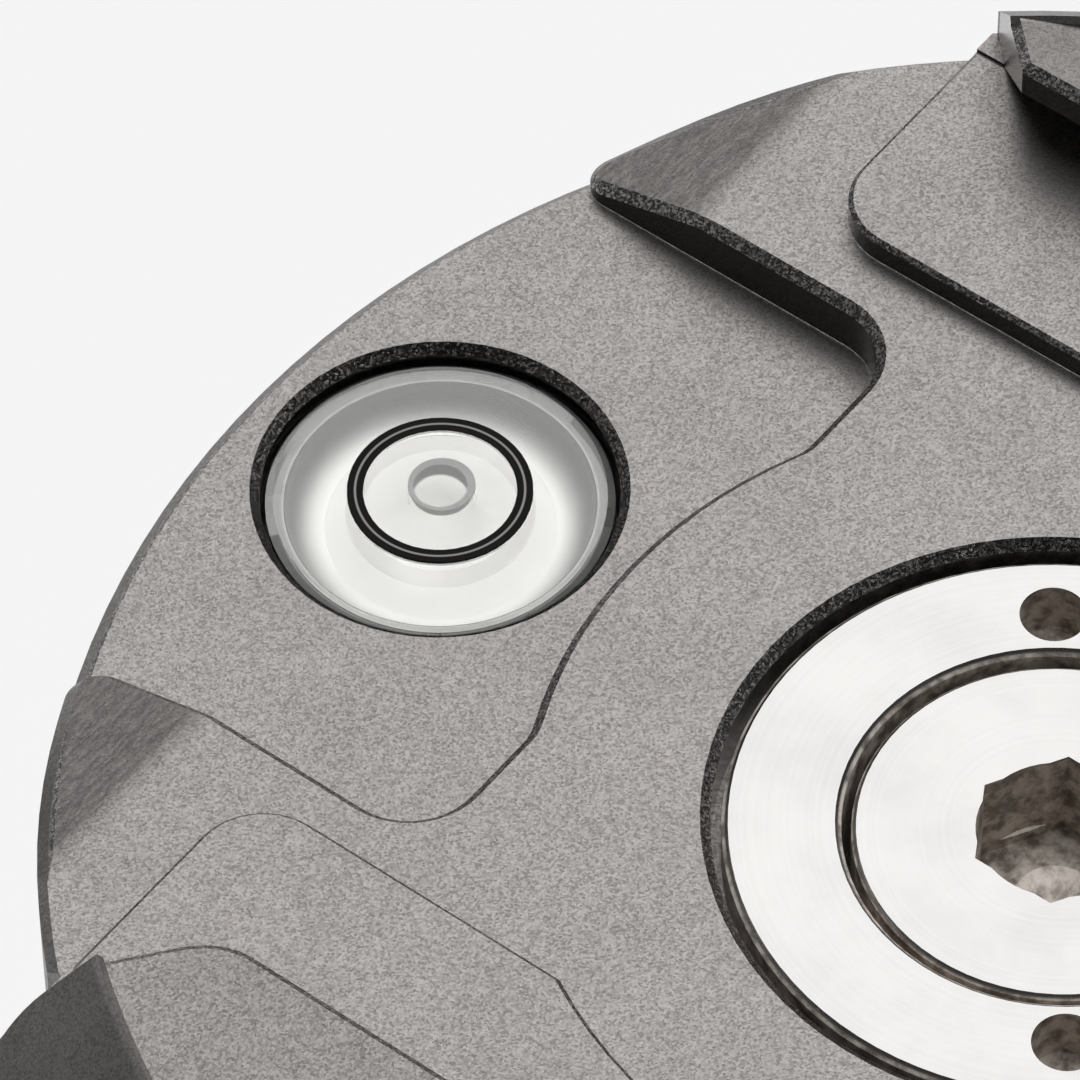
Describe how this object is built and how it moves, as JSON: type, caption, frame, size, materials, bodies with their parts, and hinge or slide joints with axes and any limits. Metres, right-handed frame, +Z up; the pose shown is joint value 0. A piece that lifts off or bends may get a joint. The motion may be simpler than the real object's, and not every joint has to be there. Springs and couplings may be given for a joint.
{
  "type": "tripod ball head",
  "caption": "Compact tripod ball head with a panning base and a round screw clamp for dovetail plates, with a bubble level in a milled pocket.",
  "frame": {"origin": "centre of the base's underside, at the mouth of the threaded socket", "axes": "+Z up along the stem, +X away from the drop notch and the bubble level, +Y towards the fixed jaw and the main locking knob"},
  "size_m": [0.0599, 0.0835, 0.0846],
  "materials": {
    "anodised_grey": "bead blasted, anodised dark grey",
    "housing_grey": "bead blasted, anodised dark grey",
    "knob_metal": "turned, anodised",
    "cap_metal": "turned, clear",
    "ball_metal": "hard anodised, satin",
    "stainless": "turned",
    "plain_steel": "ground",
    "inner_metal": "turned",
    "brass": "turned",
    "washer_plastic": "satin",
    "grip_rubber": "matt",
    "level_body": "clear, moulded",
    "level_white": "matt",
    "level_clear": "polished",
    "level_liquid": "liquid",
    "level_air": "gas",
    "level_black": "printed"
  },
  "bodies": {
    "base": {"base_plate": "housing_grey", "thread_bush": "plain_steel", "pan_flange": "inner_metal", "pan_flange_screws": "plain_steel", "pan_lower_washer": "washer_plastic"},
    "housing": {"housing": "housing_grey", "housing_floor": "inner_metal", "pan_ring": "inner_metal", "pan_upper_washer": "washer_plastic", "upper_race": "washer_plastic", "wedge_spring": "plain_steel"},
    "ball_cup": {"ball_cup": "washer_plastic"},
    "lock_wedge": {"lock_wedge": "plain_steel"},
    "lock_knob": {"lock_screw": "plain_steel", "lock_knob": "knob_metal", "lock_knob_grip": "grip_rubber", "lock_knob_cap": "cap_metal"},
    "pan_lock_pad": {"pan_lock_pad": "brass"},
    "pan_knob": {"pan_lock_screw": "plain_steel", "pan_knob": "knob_metal"},
    "friction_pad": {"friction_pad": "brass"},
    "friction_knob": {"friction_screw": "plain_steel", "friction_knob": "knob_metal"},
    "ball": {"ball_stem": "ball_metal", "clamp_spindle": "plain_steel", "centre_screw": "stainless"},
    "clamp": {"clamp_base": "anodised_grey", "ring_nut": "stainless", "spindle_lower_washer": "washer_plastic", "spindle_upper_washer": "washer_plastic", "jaw_guide_pins": "plain_steel", "jaw_springs": "plain_steel", "level_cup": "level_body", "level_floor": "level_white", "level_fluid": "level_liquid", "level_bubble": "level_air", "level_mark": "level_black", "level_lens": "level_clear"},
    "clamp_lock_pad": {"clamp_lock_pad": "brass"},
    "clamp_lock_knob": {"clamp_lock_screw": "plain_steel", "clamp_lock_knob": "knob_metal"},
    "moving_jaw": {"moving_jaw": "anodised_grey"},
    "clamp_knob": {"clamp_knob_washer": "washer_plastic", "clamp_screw": "plain_steel", "clamp_knob": "knob_metal", "clamp_knob_grip": "grip_rubber"}
  },
  "joints": [
    {"name": "base_pan", "type": "hinge", "parent": "base", "child": "housing", "pos_m": [0, 0, 0], "axis": [0, 0, 1], "continuous": true},
    {"name": "ball_lock_travel", "type": "slide", "parent": "housing", "child": "lock_wedge", "axis": [0, 1, 0], "range_m": [0, 0.00075]},
    {"name": "ball_lock_turn", "type": "hinge", "parent": "lock_wedge", "child": "lock_knob", "pos_m": [0, 0.03, 0.0224], "axis": [0, 1, 0], "range_deg": [0, 270.1]},
    {"name": "cup_lift", "type": "slide", "parent": "housing", "child": "ball_cup", "axis": [0, 0, -1], "range_m": [0, 0.000274]},
    {"name": "pan_lock_travel", "type": "slide", "parent": "housing", "child": "pan_lock_pad", "axis": [-0.342, -0.9397, 0], "range_m": [0, 0.000525]},
    {"name": "pan_lock_turn", "type": "hinge", "parent": "pan_lock_pad", "child": "pan_knob", "pos_m": [-0.00958, -0.02631, 0.0148], "axis": [-0.342, -0.9397, 0], "range_deg": [0, 270.1]},
    {"name": "friction_lock_travel", "type": "slide", "parent": "housing", "child": "friction_pad", "axis": [0.342, -0.9397, 0], "range_m": [0, 0.000525]},
    {"name": "friction_lock_turn", "type": "hinge", "parent": "friction_pad", "child": "friction_knob", "pos_m": [0.00958, -0.02631, 0.0389], "axis": [0.342, -0.9397, 0], "range_deg": [0, 270.1]},
    {"name": "ball_tilt", "type": "hinge", "parent": "housing", "child": "ball", "pos_m": [0, 0, 0.0428], "axis": [0, -1, 0], "range_deg": [-40, 90]},
    {"name": "clamp_pan", "type": "hinge", "parent": "ball", "child": "clamp", "pos_m": [0, 0, 0.0759], "axis": [0, 0, 1], "continuous": true},
    {"name": "clamp_lock_travel", "type": "slide", "parent": "clamp", "child": "clamp_lock_pad", "axis": [1, 0, 0], "range_m": [0, 0.00045]},
    {"name": "clamp_lock_turn", "type": "hinge", "parent": "clamp_lock_pad", "child": "clamp_lock_knob", "pos_m": [0.03, 0, 0.07546], "axis": [1, 0, 0], "range_deg": [0, 270.1]},
    {"name": "jaw_travel", "type": "slide", "parent": "clamp", "child": "moving_jaw", "axis": [0, -1, 0], "range_m": [-0.00027, 0.0036]},
    {"name": "clamp_knob_turn", "type": "hinge", "parent": "moving_jaw", "child": "clamp_knob", "pos_m": [0, -0.03, 0.0765], "axis": [0, -1, 0], "range_deg": [-121.6, 1620.1]}
  ],
  "couplings": [
    {"joint": "ball_lock_turn", "follows": "ball_lock_travel", "rad_per_m": 6283.2},
    {"joint": "cup_lift", "follows": "ball_lock_travel", "ratio": 0.36397},
    {"joint": "pan_lock_turn", "follows": "pan_lock_travel", "rad_per_m": 8976},
    {"joint": "friction_lock_turn", "follows": "friction_lock_travel", "rad_per_m": 8976},
    {"joint": "clamp_lock_turn", "follows": "clamp_lock_travel", "rad_per_m": 10472},
    {"joint": "clamp_knob_turn", "follows": "jaw_travel", "rad_per_m": 7854}
  ]
}
